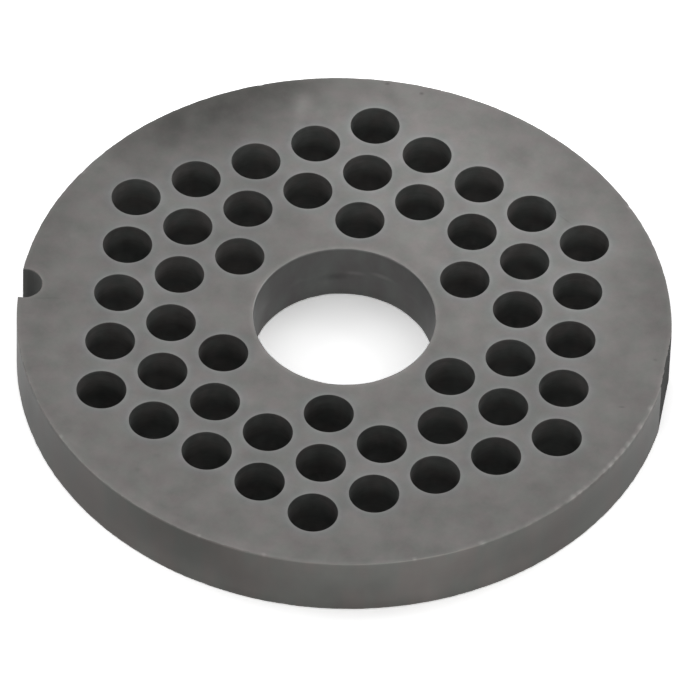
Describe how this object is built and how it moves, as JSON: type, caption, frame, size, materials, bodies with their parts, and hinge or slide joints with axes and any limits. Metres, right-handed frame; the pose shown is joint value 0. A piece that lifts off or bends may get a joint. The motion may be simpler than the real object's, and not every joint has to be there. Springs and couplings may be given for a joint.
{
  "type": "meat grinder plate",
  "caption": "Round flat steel grinder plate with a central bore, a hexagonal field of feed holes, a half-round keyway in its rim and a narrow flat opposite.",
  "frame": {"origin": "centre of the bore on the lower flat face, on which the plate lies", "axes": "+Z along the axis of the bore, through the plate; -X towards the keyway in the rim"},
  "size_m": [0.0816, 0.0818, 0.0085],
  "materials": {
    "ground_steel": "dull ground steel, worn and lightly stained, with unpolished dark walls in the holes and keyway"
  },
  "bodies": {
    "root": {"plate": "ground_steel"}
  },
  "joints": []
}
